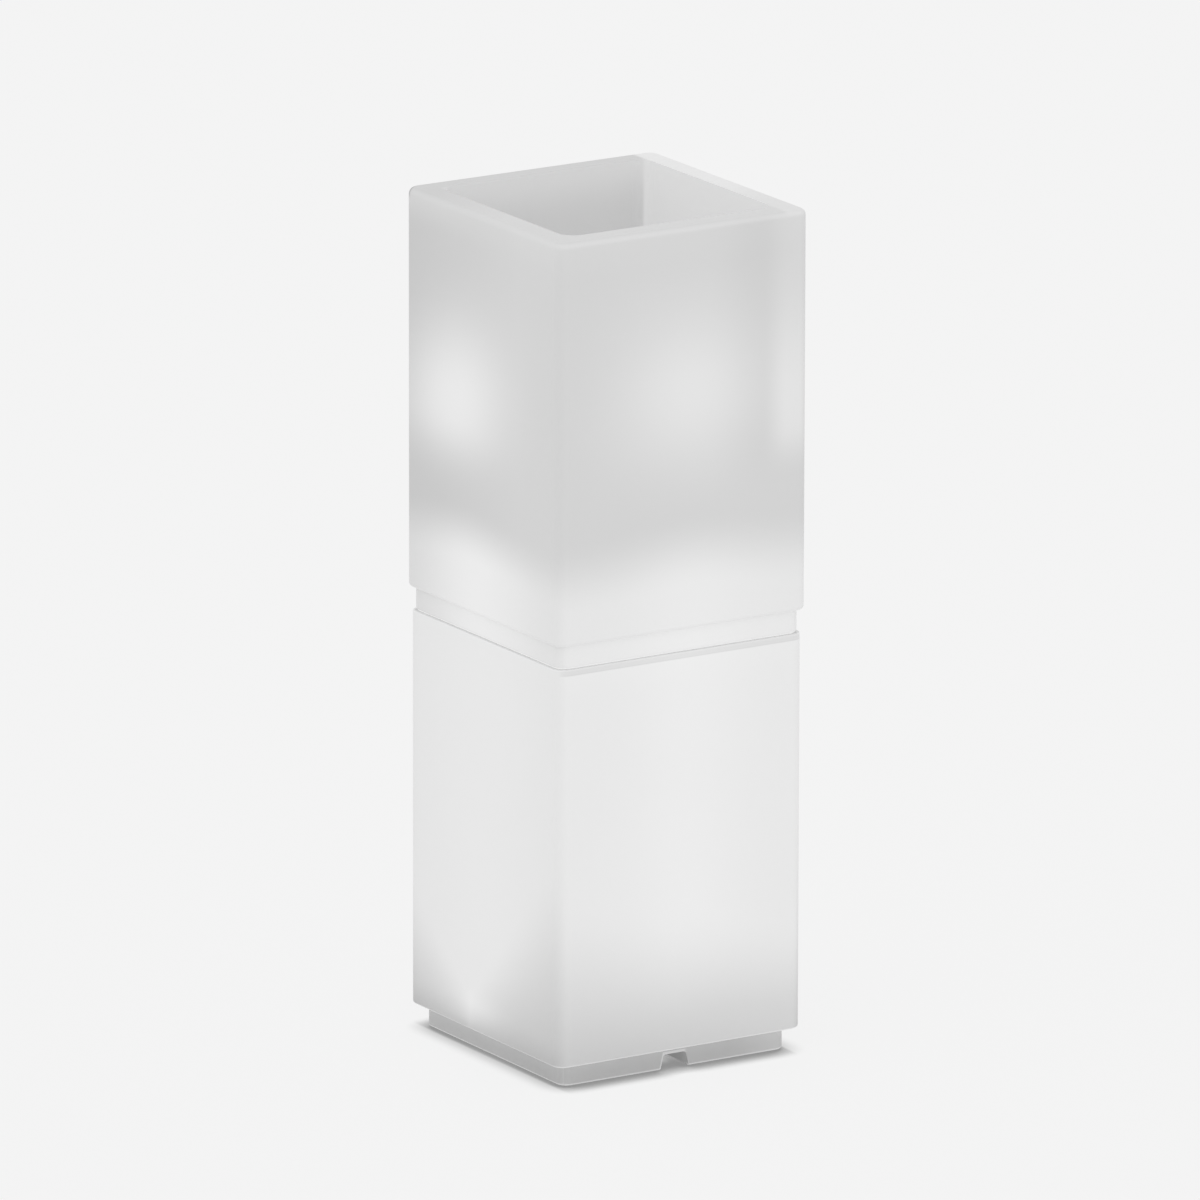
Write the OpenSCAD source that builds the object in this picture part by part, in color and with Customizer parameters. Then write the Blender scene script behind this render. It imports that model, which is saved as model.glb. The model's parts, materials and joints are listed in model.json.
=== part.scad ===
// Illuminated outdoor column with an open planter on top. Millimetres, +Z up, standing on z = 0.
// The side with the cable notch faces -Y.

/* [Housings] */
// Width of the pot housing
body_w = 270; // [262:1:290]
// Overall height
total_h = 800; // [770:5:850]
// Wall of the moulded housings
wall = 4; // [3:0.5:5]
// Radius of the upright corners
corner_r = 12; // [9:1:14]
// Radius of the pot housing's lower edge
skirt_r = 4; // [2:1:6]
// Height of the column's upper face
joint_h = 400; // [385:5:420]
// How far the column stands in from the pot housing on each side
column_inset = 2.5; // [1:0.5:4]
// Radius of the column's lower edge
column_edge_r = 3; // [2:1:6]
// Radius of the column's upper edge
column_top_r = 1.5; // [0.5:0.5:2]

/* [Pot] */
// Width of the flat rim
rim_w = 24; // [20:1:28]
// Rounding of the rim's outer edge
rim_r = 6; // [3:1:8]
// Depth of the pot
pot_depth = 245; // [220:5:260]
// Radius of the pot's upright corners at the rim
pot_corner_r = 16; // [14:1:20]
// How far each side leans in towards the pot's floor
pot_draft = 4; // [2:0.5:5]
// Radius between the pot's walls and its floor
pot_floor_r = 9; // [5:1:9]

/* [Neck] */
// Height of the recessed neck, seal included
neck_h = 22; // [16:1:28]
// How far the neck stands in from the pot housing
neck_inset = 5; // [4:0.5:7]
// Thickness of the seal between neck and column
seal_t = 1.5; // [1:0.5:2]
// How far the seal stands in from the neck
seal_setback = 1.5; // [1:0.5:2.5]
// Width of the column's turned-in ledge
ledge_w = 10; // [9:0.5:12]
// Thickness of the ledge
ledge_t = 6; // [4:0.5:8]
// How far the pot's spigot reaches below the joint
spigot_len = 20; // [15:1:30]
// Clearance round the spigot
spigot_gap = 0.4; // [0.3:0.1:0.8]

/* [Base plate] */
// Height of the feet below the plinth
foot_h = 1.5; // [1:0.5:3]
// Radius of a foot
foot_r = 12; // [9:1:13]
// Radius of a foot's stem
foot_stem_r = 3; // [2.5:0.5:4]
// Length of a foot's stem
foot_stem_len = 10; // [8:1:12]
// Height of the plinth
plinth_h = 20; // [20:1:24]
// How far the plinth stands in from the column
plinth_inset = 11; // [9:0.5:12]
// Rounding of the plinth's lower edge
plinth_r = 2.5; // [1:0.5:3]
// Thickness of the plinth's walls
plate_t = 4; // [3:0.5:4.5]
// Thickness of the gasket under the column
gasket_t = 1; // [0.8:0.1:1.5]
// How far the platform that stands up inside the column is set in from the plinth
platform_inset = 24; // [21:1:27]
// Height of the platform above the plinth's flange
platform_h = 8; // [6:1:12]
// Clearance round the platform
platform_gap = 0.5; // [0.4:0.1:1]
// Thickness of the ribs
rib_t = 2.5; // [2:0.5:3]
// Distance of the ribs from the middle
rib_place = 56; // [52:1:58]
// Gap between the ribs and the ground, above the feet
rib_gap = 3; // [2:0.5:5]
// Width of the cable notch at its mouth
notch_w = 31; // [28:1:33]
// Height of the cable notch
notch_h = 14.5; // [14:0.5:16]
// How much narrower the notch is at its top
notch_taper = 7; // [0:0.5:8]
// Radius of the notch's upper corners
notch_r = 3; // [2:0.5:4]
// Clear width of the cable channel
channel_w = 33; // [33:1:40]
// Width of the cable well
well_w = 56; // [50:1:60]
// Length of the cable well
well_len = 60; // [52:1:66]
// Place of the well's front wall
well_y = -21; // [-24:1:-18]
// Thickness of the well's walls
well_t = 3; // [2:0.5:3.5]
// Thickness of the well's floor
well_floor_t = 2; // [1.5:0.25:2]
// Gap between the well and the ground, above the feet
well_gap = 0.5; // [0.25:0.25:0.5]

/* [Base fixings] */
// Radius of the base screws
screw_r = 2.5; // [2:0.25:2.75]
// Radius of the base screws' heads
screw_head_r = 4.5; // [4:0.25:4.75]
// Height of the base screws' heads
screw_head_h = 3; // [2.5:0.5:3.5]
// Depth of the head's pocket
screw_pocket = 10; // [8:1:12]
// Half the distance between the two screws of a side
screw_pitch = 68; // [62:1:72]
// Radius of a threaded insert
insert_r = 3.5; // [3.25:0.25:4]
// Length of a threaded insert
insert_len = 12; // [9:1:14]
// Wall round a threaded insert
boss_t = 4; // [3:0.5:5]
// Clearance of screws in their holes
screw_gap = 0.25; // [0.2:0.05:0.4]

/* [Cable gland] */
// Height of the gland's axis above the plinth's lower face
gland_rise = 10.5; // [10:0.5:11]
// Radius of the gland's thread
gland_r = 6; // [5.5:0.25:6.25]
// Width of the gland's hexagons across flats
gland_af = 15; // [14:0.5:15.5]
// Thickness of the gland's collar
gland_collar = 5; // [4:0.5:6]
// Length of the gland's nut
gland_nut_len = 16; // [14:1:18]
// Thickness of the locknut
locknut_t = 4.5; // [3.5:0.5:5]
// Radius of the cord that the seal takes
cord_r = 3.25; // [2.75:0.25:3.5]
// Wall of the gland's seal
gland_seal_t = 1.2; // [1:0.1:1.4]
// Running clearance of the gland's nut
gland_gap = 0.06; // [0.04:0.01:0.1]
// Gap between the gland's nut and its collar
nut_gap = 0.3; // [0.2:0.1:0.5]

/* [Gear tray] */
// Length of the tray
tray_x = 176; // [174:2:180]
// Width of the tray
tray_y = 150; // [148:2:156]
// Thickness of sheet metal
sheet_t = 1.5; // [1:0.25:2]
// Height of the tray's turned-up edges
tray_lip = 10; // [6:1:14]
// Height of the tray's posts
post_h = 10; // [8:1:14]
// Radius of the tray's posts
post_r = 5; // [4:0.5:6]
// Distance of the posts from the tray's ends
post_inset = 12; // [10:1:14]
// Radius of the small fixing screws
pin_r = 1.75; // [1.5:0.25:2]
// Length of the ballast
ballast_x = 112; // [104:2:116]
// Width of the ballast
ballast_y = 34; // [30:1:36]
// Height of the ballast
ballast_h = 26; // [22:1:30]
// Length of the driver
driver_y = 56; // [52:2:58]
// Width of the driver
driver_x = 32; // [28:1:34]
// Height of the driver
driver_h = 22; // [18:1:26]
// Length of a fixing ear
ear = 9; // [8:0.5:10]
// Thickness of a fixing ear
ear_t = 3; // [2:0.5:4]
// Width of the terminal block
terminal_x = 30; // [26:1:32]
// Depth of the terminal block
terminal_y = 22; // [20:1:26]
// Height of the terminal block
terminal_h = 16; // [14:1:20]
// Distance between the ways of the terminal block
terminal_pitch = 7.5; // [6.5:0.25:7.5]
// Radius of an insulated core
core_r = 1.3; // [1:0.1:1.5]
// Inner radius of a bend in a core, at the core's middle
core_bend = 4; // [3:0.5:5]

/* [Lamp] */
// Length of the lamp above its socket's floor
lamp_len = 415; // [395:5:425]
// Radius of a glass tube
tube_r = 8.75; // [8:0.25:9]
// Distance between the tubes' axes
tube_pitch = 22; // [21:0.5:24]
// Width of the lamp's cap
cap_w = 44; // [42:1:46]
// Depth of the lamp's cap
cap_d = 24; // [23:0.5:26]
// Height of the lamp's cap
cap_h = 36; // [30:1:42]
// Clearance of the cap in the socket
cap_gap = 0.35; // [0.3:0.05:0.5]
// Depth to which the cap stands in the socket
cap_seat = 6; // [5:0.5:8]
// Radius of a contact pin
contact_r = 1.15; // [1:0.05:1.25]
// Length of a contact pin
contact_len = 6.5; // [5.5:0.5:7.5]
// Distance between contact pins
contact_pitch = 8; // [7.5:0.5:9]
// Height of the socket
socket_h = 22; // [20:1:26]
// Wall of the socket
socket_wall = 4; // [3:0.5:5]
// Place of the lamp's axis in front of or behind the middle
lamp_y = 5; // [4:1:7]
// Height of the clip above the tray
clip_rise = 285; // [240:5:300]
// Height of the clip's grip
clip_h = 12; // [8:1:16]
// Thickness of the clip
clip_t = 1.6; // [1.2:0.1:1.8]
// Running clearance of the tubes in the clip
clip_gap = 0.1; // [0.08:0.01:0.2]
// Width of the opening of each grip
clip_mouth = 11; // [9:0.5:12]

/* [Spine] */
// Width of the spine
spine_w = 46; // [40:1:50]
// Depth of the spine's edges
spine_d = 12; // [9:0.5:14]
// Height of the spine above the tray
spine_h = 352; // [340:2:356]
// Distance from the lamp's axis to the spine's face
spine_gap = 19; // [18:0.5:20]
// Length of the spine's foot
spine_foot = 24; // [21:1:28]

/* [Pot lighting] */
// Height of the light modules above the pot's floor
module_rise = 85; // [70:5:100]
// Length of a light module
module_len = 66; // [60:1:72]
// Width of a light module
module_w = 16; // [14:1:18]
// Thickness of a light module
module_t = 4; // [3:0.5:5]
// Radius of a lens
lens_r = 5; // [4:0.5:6]
// Height of a lens
lens_h = 3; // [2:0.5:4]
// Lenses of a light module
lens_count = 3; // [2:1:4]
// Distance between lenses
lens_pitch = 20; // [16:1:22]
// Radius of the flat lead
lead_r = 1.8; // [1.4:0.1:1.9]
// Place of the pot's plug behind the middle
plug_y = 40; // [39:0.5:42]
// Radius of the plug's stem
plug_r = 4; // [3.5:0.25:4.5]
// Length of the plug's stem
plug_len = 11; // [9:1:14]
// Clearance of the plug in its socket
plug_gap = 0.08; // [0.05:0.01:0.1]
// Wall of the plug's socket
plug_wall = 2; // [1.5:0.25:2.5]
// Length of the plug's grip
grip_len = 20; // [16:1:26]
// Radius of the plug's grip
grip_r = 7; // [6:0.5:8]
// Width of the splice under the pot
splice_w = 24; // [20:1:28]
// Thickness of the splice
splice_t = 9; // [7:0.5:12]
// Place of a lead clip along its run
clip_place = 70; // [60:1:80]

/* [Hidden] */
$fn = 64;

// Small overlap that opens a cut or joins two volumes of one piece
eps = 1;
// Gap between a piece and a surface that it is stuck to
glue = 0.2;
// Gap round a piece that is pressed or screwed into its hole
snug = 0.05;

column_w = body_w - 2 * column_inset;
neck_w = body_w - 2 * neck_inset;
plinth_w = column_w - 2 * plinth_inset;
platform_w = plinth_w - 2 * platform_inset;
pot_w = body_w - 2 * rim_w;
mouth_w = column_w - 2 * ledge_w;
spigot_w = mouth_w - 2 * spigot_gap;
opening_w = platform_w + 2 * platform_gap;
neck_r = corner_r - 1;
plinth_corner_r = corner_r - 1;
mouth_r = corner_r - 4;
opening_r = 8;
platform_r = 7;
hollow_r = 5;
gasket_inset = 2;

// Levels
plate_z = foot_h + plinth_h;
column_z = plate_z + gasket_t;
platform_z = plate_z + platform_h;
neck_z = joint_h + seal_t;
skirt_z = joint_h + neck_h;
floor_z = total_h - pot_depth;
under_z = floor_z - wall;
tray_z = platform_z + post_h;
deck_z = tray_z + sheet_t;
module_z = floor_z + module_rise;

// Corner axes and radii of the pot
pot_core = pot_w / 2 - pot_corner_r;
pot_low_r = pot_corner_r - pot_draft;
draft_rate = pot_draft / (pot_depth - pot_floor_r);
function pot_r(z) = pot_low_r + draft_rate * (z - floor_z - pot_floor_r);

// Base fixings
insert_hole_r = insert_r + snug;
boss_r = insert_hole_r + boss_t;
screw_line = opening_w / 2 + boss_r + 1;
screw_hole_r = screw_r + screw_gap;
pocket_r = screw_head_r + screw_gap;
pocket_wall = 2;
hex_depth = 2;
screw_seat = foot_h + screw_pocket;
foot_place = plinth_w / 2 - plate_t - foot_r;
foot_edge = 1;
foot_bevel = 2.5;

// Cable gland
gland_z = foot_h + gland_rise;
gland_front = well_y - well_t;
gland_bore = cord_r + gland_seal_t;
gland_len = 12;
gland_seat = gland_collar - 2;
gland_thread = gland_len - 4;
gland_play = 0.4;
nut_taper = 9;

// Gear on the tray
spine_y = lamp_y + spine_gap;
spine_hole = 6;
post_x = tray_x / 2 - post_inset;
post_y = tray_y / 2 - post_inset;
pin_hole_r = pin_r + screw_gap;
pin_head_r = pin_r * 1.9;
pin_head_h = pin_r * 1.2;
pin_len = 7;
pin_dome_r = pin_head_r * 1.15;
pin_free = 0.5;
gear_gap = 5;
tray_cut = 12;
lid_inset = 1.5;
lid_h = 2;
wire_room = 3.5;
socket_front = lamp_y - cap_d / 2 - cap_gap - socket_wall;
ballast_back = socket_front - gear_gap;
ballast_place = [-tray_x / 2 + sheet_t + gear_gap + ear + ballast_x / 2, ballast_back - ballast_y / 2];
driver_place = [tray_x / 2 - sheet_t - gear_gap - driver_x / 2, post_y - gear_gap - ear - driver_y / 2];
terminal_place = [-tray_x / 2 + sheet_t + 2 * gear_gap + terminal_x / 2 + wire_room, lamp_y];
terminal_z = deck_z + 6;
terminal_seat = 3;
terminal_step = 5;
terminal_screw_h = 5;
slot_w = 0.8;
grommet_place = [-spine_w / 2 - 12, spine_y + gear_gap];
grommet_r = 5.5;

// Cores
pair = core_r + 0.3;
grip_in_way = 5;
lamp_core_z = deck_z + 8;
tray_core_z = deck_z + 13.5;
tray_core_step = 4.5;

// Lamp
socket_floor = deck_z + socket_h - cap_seat;
cap_top = socket_floor + cap_h;
tube_len = lamp_len - cap_h;
clip_z = deck_z + clip_rise;
spine_top = deck_z + spine_h;
contact_gap = 0.15;
cap_shoulder = 6;
cap_step = 1.5;
tube_seat = 8;
bridge_r = tube_r * 0.55;
bridge_drop = tube_r * 2.2;

// Pot lighting
plug_seat_z = spine_top + 12;
plug_mouth = 3;
plug_collar = 2;
socket_low = plug_seat_z - plug_len - 5;
bracket_w = 2 * grip_r + 6;
spine_holes = 4;
spine_step = spine_h / (spine_holes + 1.5);
spine_hole_r = spine_w / 6;
lead_z = under_z - lead_r - 2 * glue;
lead_x = pot_core + pot_low_r + wall + lead_r + 0.9;
module_pocket = 1;
lead_top = module_z - module_len / 2 - glue;
lead_bend = 8;
lead_seat = 3;

// Right half of the upright section of a rounded edge, from the corner's axis outwards
module edge_profile(r, h, top_r, bottom_r) {
    difference() {
        square([r, h]);
        if (top_r > 0) translate([r - top_r, h - top_r]) difference() {
            square(top_r + eps);
            circle(r = top_r);
        }
        if (bottom_r > 0) translate([r - bottom_r, bottom_r]) mirror([0, 1]) difference() {
            square(bottom_r + eps);
            circle(r = bottom_r);
        }
    }
}

// Square block with rounded upright corners and, if asked for, rounded upper and lower edges
module rounded_block(w, r, z0, z1, top_r = 0, bottom_r = 0) {
    core = w / 2 - r;
    h = z1 - z0;
    translate([0, 0, z0]) {
        translate([-core, -core, 0]) cube([2 * core, 2 * core, h]);
        for (k = [0 : 3]) rotate(90 * k) translate([core, core, 0]) {
            rotate([90, 0, 0]) linear_extrude(2 * core) edge_profile(r, h, top_r, bottom_r);
            rotate_extrude(angle = 90) edge_profile(r, h, top_r, bottom_r);
        }
    }
}

// Square block whose four sides lean out from radius low_r to radius high_r round fixed corner axes
module drafted_block(core, low_r, high_r, z0, z1) {
    h = z1 - z0;
    side = [[-core - low_r, 0], [core + low_r, 0], [core + high_r, h], [-core - high_r, h]];
    translate([0, 0, z0]) {
        for (k = [0, 1]) rotate(90 * k) translate([0, core, 0]) rotate([90, 0, 0])
            linear_extrude(2 * core) polygon(side);
        for (x = [-1, 1], y = [-1, 1]) translate([core * x, core * y, 0])
            cylinder(h = h, r1 = low_r, r2 = high_r);
    }
}

// Pot's volume, grown outwards by skin: rounded at its floor, drafted above it
module pot_volume(skin, top) {
    low_r = pot_low_r + skin;
    edge_r = pot_floor_r + skin;
    base = floor_z - skin;
    rounded_block(2 * (pot_core + low_r), low_r, base, base + edge_r, 0, edge_r);
    drafted_block(pot_core, low_r, pot_r(top) + skin, base + edge_r, top);
}

// Round bar along points, each turn square, with bends of radius bend
module round_path(points, r, bend) {
    last = len(points) - 1;
    for (i = [0 : last - 1]) {
        a = points[i];
        b = points[i + 1];
        run = norm(b - a);
        dir = (b - a) / run;
        skip_a = i == 0 ? 0 : bend;
        skip_b = i == last - 1 ? 0 : bend;
        translate(a + dir * skip_a) along(dir) cylinder(h = run - skip_a - skip_b, r = r);
        if (i < last - 1) {
            next = (points[i + 2] - b) / norm(points[i + 2] - b);
            axis = cross(dir, next);
            centre = b - dir * bend + next * bend;
            multmatrix([[-next.x, dir.x, axis.x, centre.x], [-next.y, dir.y, axis.y, centre.y],
                [-next.z, dir.z, axis.z, centre.z], [0, 0, 0, 1]])
                rotate_extrude(angle = 90) translate([bend, 0]) circle(r = r, $fn = 24);
        }
    }
}

// Turns +Z to a direction along one of the three axes
module along(dir) {
    turn = dir.x != 0 ? [0, 90 * sign(dir.x), 0] : dir.y != 0 ? [-90 * sign(dir.y), 0, 0]
        : [dir.z < 0 ? 180 : 0, 0, 0];
    rotate(turn) children();
}

// Places of the eight base screws, two on each side
module at_screws() {
    for (k = [0 : 3], side = [-1, 1]) rotate(90 * k) translate([side * screw_pitch, screw_line, 0])
        children();
}

module at_feet() {
    for (x = [-1, 1], y = [-1, 1]) translate([x * foot_place, y * foot_place, 0]) children();
}

module at_posts() {
    for (x = [-1, 1], y = [-1, 1]) translate([x * post_x, y * post_y, 0]) children();
}

module upper_shell() {
    color([0.93, 0.93, 0.93]) difference() {
        union() {
            difference() {
                union() {
                    rounded_block(body_w, corner_r, skirt_z, total_h, rim_r, skirt_r);
                    rounded_block(neck_w, neck_r, neck_z, skirt_z + wall);
                    rounded_block(spigot_w, mouth_r, joint_h - spigot_len, neck_z + eps);
                }
                rounded_block(body_w - 2 * wall, corner_r - wall, skirt_z + wall, total_h - wall);
                rounded_block(neck_w - 2 * wall, neck_r - wall, neck_z + wall, skirt_z + wall + eps);
                rounded_block(spigot_w - 2 * wall, hollow_r, joint_h - spigot_len - eps,
                    neck_z + wall + eps);
            }
            pot_volume(wall, total_h - wall / 2);
        }
        pot_volume(0, total_h + eps);
    }
}

module lower_shell() {
    color([0.94, 0.94, 0.94]) difference() {
        union() {
            difference() {
                rounded_block(column_w, corner_r, column_z, joint_h, column_top_r, column_edge_r);
                rounded_block(column_w - 2 * wall, corner_r - wall, column_z + wall, joint_h - ledge_t);
            }
            at_screws() translate([0, 0, column_z + wall / 2])
                cylinder(h = insert_len + boss_t / 2 + wall / 2, r = boss_r);
        }
        rounded_block(mouth_w, mouth_r, joint_h - ledge_t - eps, joint_h + eps);
        rounded_block(opening_w, opening_r, column_z - eps, column_z + wall + eps);
        at_screws() translate([0, 0, column_z - eps]) cylinder(h = insert_len + eps, r = insert_hole_r);
    }
}

module neck_seal() {
    color([0.74, 0.74, 0.74]) difference() {
        rounded_block(neck_w - 2 * seal_setback, neck_r - 1, joint_h, neck_z);
        rounded_block(mouth_w, mouth_r, joint_h - eps, neck_z + eps);
    }
}

// Inside of the plinth below its flange and below its platform
module plinth_hollow() {
    rounded_block(plinth_w - 2 * plate_t, plinth_corner_r - plate_t, foot_h - eps, plate_z - plate_t);
    rounded_block(platform_w - 2 * plate_t, hollow_r, foot_h - eps, platform_z - plate_t);
}

module plinth_ribs() {
    reach = plinth_w - plate_t;
    rib_z = foot_h + rib_gap;
    difference() {
        intersection() {
            union() {
                rounded_block(reach, plinth_corner_r - plate_t / 2, rib_z, plate_z - plate_t + eps);
                rounded_block(platform_w - plate_t, platform_r, rib_z, platform_z - plate_t + eps);
            }
            union() {
                for (side = [-1, 1]) {
                    translate([side * rib_place - rib_t / 2, -reach / 2, 0])
                        cube([rib_t, reach, platform_z]);
                    translate([-reach / 2, side * rib_place - rib_t / 2, 0])
                        cube([reach, rib_t, platform_z]);
                }
            }
        }
        translate([-channel_w / 2, -plinth_w / 2, 0]) cube([channel_w, plinth_w / 2, platform_z]);
    }
}

// Two walls that lead the cord from the gland to the notch
module channel_ribs() {
    low = foot_h + well_gap;
    outer = -plinth_w / 2 + plate_t / 2;
    step = -platform_w / 2 + plate_t / 2;
    for (side = [-1, 1]) translate([side * (channel_w + rib_t) / 2 - rib_t / 2, 0, low]) {
        translate([0, outer, 0]) cube([rib_t, step - outer + eps, plate_z - plate_t / 2 - low]);
        translate([0, step, 0]) cube([rib_t, gland_front - step + eps, platform_z - plate_t / 2 - low]);
    }
}

module well_block(t, z0, z1) {
    translate([-well_w / 2 - t, well_y - t, z0]) cube([well_w + 2 * t, well_len + 2 * t, z1 - z0]);
}

module cable_notch() {
    lean = atan(notch_taper / 2 / notch_h);
    low_x = notch_w / 2 + tan(lean) * eps;
    centre = [notch_w / 2 - tan(lean) * (notch_h - notch_r) - notch_r / cos(lean), notch_h - notch_r];
    touch = centre + notch_r * [cos(lean), sin(lean)];
    half = [[-eps, -eps], [low_x, -eps], touch, [centre.x, notch_h], [-eps, notch_h]];
    translate([0, -plinth_w / 2 + plate_t + eps, foot_h]) rotate([90, 0, 0])
        linear_extrude(plate_t + 2 * eps) for (side = [0, 1]) mirror([side, 0]) {
            polygon(half);
            translate(centre) circle(r = notch_r);
        }
}

module base_plate() {
    color([0.72, 0.72, 0.72]) difference() {
        union() {
            difference() {
                union() {
                    rounded_block(plinth_w, plinth_corner_r, foot_h, plate_z, 0, plinth_r);
                    rounded_block(platform_w, platform_r, plate_z - eps, platform_z, 1);
                }
                plinth_hollow();
            }
            plinth_ribs();
            channel_ribs();
            well_block(well_t, foot_h + well_gap, platform_z - plate_t / 2);
            at_screws() translate([0, 0, foot_h + well_gap])
                cylinder(h = plinth_h - plate_t / 2, r = pocket_r + pocket_wall);
            at_feet() translate([0, 0, foot_h]) cylinder(h = plinth_h - plate_t / 2, r = foot_r + foot_edge);
            at_posts() translate([0, 0, platform_z - plate_t / 2])
                cylinder(h = post_h + plate_t / 2, r = post_r);
        }
        well_block(0, foot_h + well_gap + well_floor_t, platform_z + eps);
        cable_notch();
        at_screws() {
            translate([0, 0, foot_h - eps]) cylinder(h = screw_pocket + eps, r = pocket_r);
            translate([0, 0, foot_h]) cylinder(h = plinth_h + eps, r = screw_hole_r);
        }
        at_feet() translate([0, 0, foot_h - eps])
            cylinder(h = foot_stem_len + 1 + eps, r = foot_stem_r + snug);
        at_posts() translate([0, 0, tray_z - pin_len - 1]) cylinder(h = pin_len + 2, r = pin_r + snug);
        translate([0, well_y + eps, gland_z]) rotate([90, 0, 0])
            cylinder(h = well_t + 2 * eps, r = gland_r + screw_gap);
    }
}

module base_gasket() {
    color([0.74, 0.74, 0.74]) difference() {
        rounded_block(plinth_w - 2 * gasket_inset, plinth_corner_r - gasket_inset, plate_z, column_z);
        rounded_block(opening_w, opening_r, plate_z - eps, column_z + eps);
        at_screws() translate([0, 0, plate_z - eps]) cylinder(h = gasket_t + 2 * eps, r = screw_hole_r);
    }
}

module base_inserts() {
    color([0.78, 0.62, 0.32]) at_screws() translate([0, 0, column_z]) difference() {
        cylinder(h = insert_len, r = insert_r);
        translate([0, 0, -eps]) cylinder(h = insert_len + 2 * eps, r = screw_r + snug);
    }
}

module base_screws() {
    shank = column_z + insert_len - screw_seat - 1;
    color([0.7, 0.7, 0.72]) at_screws() translate([0, 0, screw_seat]) difference() {
        union() {
            cylinder(h = shank, r = screw_r);
            translate([0, 0, -screw_head_h]) cylinder(h = screw_head_h, r = screw_head_r);
        }
        translate([0, 0, -screw_head_h - eps]) cylinder(h = hex_depth + eps, r = screw_r, $fn = 6);
    }
}

module rubber_feet() {
    color([0.12, 0.12, 0.12]) at_feet() rotate_extrude() {
        stem_top = foot_h + foot_stem_len;
        polygon([[0, 0], [foot_r - foot_bevel, 0], [foot_r - foot_edge, foot_h], [foot_stem_r, foot_h],
            [foot_stem_r, stem_top - 1], [foot_stem_r - 1, stem_top], [0, stem_top]]);
    }
}

// Places what follows with +Z along the cord's way out, from the well's front wall
module at_gland() {
    translate([0, gland_front, gland_z]) rotate([90, 0, 0]) children();
}

module gland_body() {
    inner_end = -well_t - locknut_t - 3;
    outer_end = gland_collar + gland_thread;
    color([0.25, 0.25, 0.26]) at_gland() difference() {
        union() {
            cylinder(h = gland_collar, r = gland_af / sqrt(3), $fn = 6);
            translate([0, 0, inner_end]) cylinder(h = outer_end - inner_end, r = gland_r);
        }
        translate([0, 0, inner_end - eps]) cylinder(h = outer_end - inner_end, r = cord_r + gland_play);
        translate([0, 0, gland_seat]) cylinder(h = gland_len, r = gland_bore);
    }
}

module gland_seal() {
    color([0.74, 0.74, 0.74]) at_gland() translate([0, 0, gland_seat]) difference() {
        cylinder(h = gland_len - 2, r = gland_bore);
        translate([0, 0, -eps]) cylinder(h = gland_len + 2 * eps, r = cord_r);
    }
}

module gland_nut() {
    color([0.28, 0.28, 0.29]) at_gland() translate([0, 0, gland_collar + nut_gap]) difference() {
        intersection() {
            cylinder(h = gland_nut_len, r = gland_af / sqrt(3), $fn = 6);
            rotate_extrude() polygon([[0, 0], [gland_af, 0], [gland_af, gland_nut_len - nut_taper],
                [gland_r, gland_nut_len], [0, gland_nut_len]]);
        }
        translate([0, 0, -eps]) cylinder(h = gland_thread + eps, r = gland_r + gland_gap);
        cylinder(h = gland_nut_len + eps, r = cord_r + gland_play);
    }
}

module gland_locknut() {
    color([0.3, 0.3, 0.31]) at_gland() translate([0, 0, -well_t - locknut_t]) difference() {
        cylinder(h = locknut_t, r = gland_af / sqrt(3), $fn = 6);
        translate([0, 0, -eps]) cylinder(h = locknut_t + 2 * eps, r = gland_r + snug);
    }
}

// Pan-head screw that stands on the surface at z = 0
module pan_screw() {
    translate([0, 0, pin_free - pin_len]) cylinder(h = pin_len, r = pin_r);
    rotate_extrude() intersection() {
        square([pin_head_r, pin_head_h]);
        translate([0, pin_head_h - pin_dome_r]) circle(r = pin_dome_r);
    }
}

// Places of the screws that hold the gear, the socket and the spine
function ballast_spots() = [for (side = [-1, 1])
    [ballast_place.x + side * (ballast_x + ear) / 2, ballast_place.y]];
function driver_spots() = [for (side = [-1, 1])
    [driver_place.x, driver_place.y + side * (driver_y + ear) / 2]];
function socket_spots() = [for (side = [-1, 1])
    [side * (cap_w / 2 + socket_wall + ear / 2), lamp_y]];
function spine_spots() = [for (side = [-1, 1]) [side * spine_w / 4, spine_y + spine_foot - spine_hole]];

module at_spots(spots) {
    for (p = spots) translate([p.x, p.y, 0]) children();
}

module gear_tray() {
    color([0.86, 0.86, 0.87]) difference() {
        union() {
            translate([-tray_x / 2, -tray_y / 2, tray_z]) cube([tray_x, tray_y, sheet_t]);
            for (side = [0, 1]) mirror([side, 0, 0])
                translate([tray_x / 2 - sheet_t, -tray_y / 2, tray_z]) cube([sheet_t, tray_y, tray_lip]);
        }
        for (x = [-1, 1], y = [-1, 1]) translate([x * tray_x / 2, y * tray_y / 2, tray_z - eps])
            rotate(45) translate([-tray_cut / 2, -tray_cut / 2, 0])
                cube([tray_cut, tray_cut, tray_lip + 2 * eps]);
        translate([0, 0, tray_z - eps]) {
            at_posts() cylinder(h = sheet_t + 2 * eps, r = pin_hole_r);
            at_spots(concat(ballast_spots(), driver_spots(), socket_spots(), spine_spots()))
                cylinder(h = sheet_t + 2 * eps, r = pin_hole_r);
            translate(grommet_place) cylinder(h = sheet_t + 2 * eps, r = grommet_r);
        }
    }
}

module tray_screws() {
    color([0.75, 0.75, 0.76]) at_posts() translate([0, 0, deck_z]) pan_screw();
}

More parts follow.
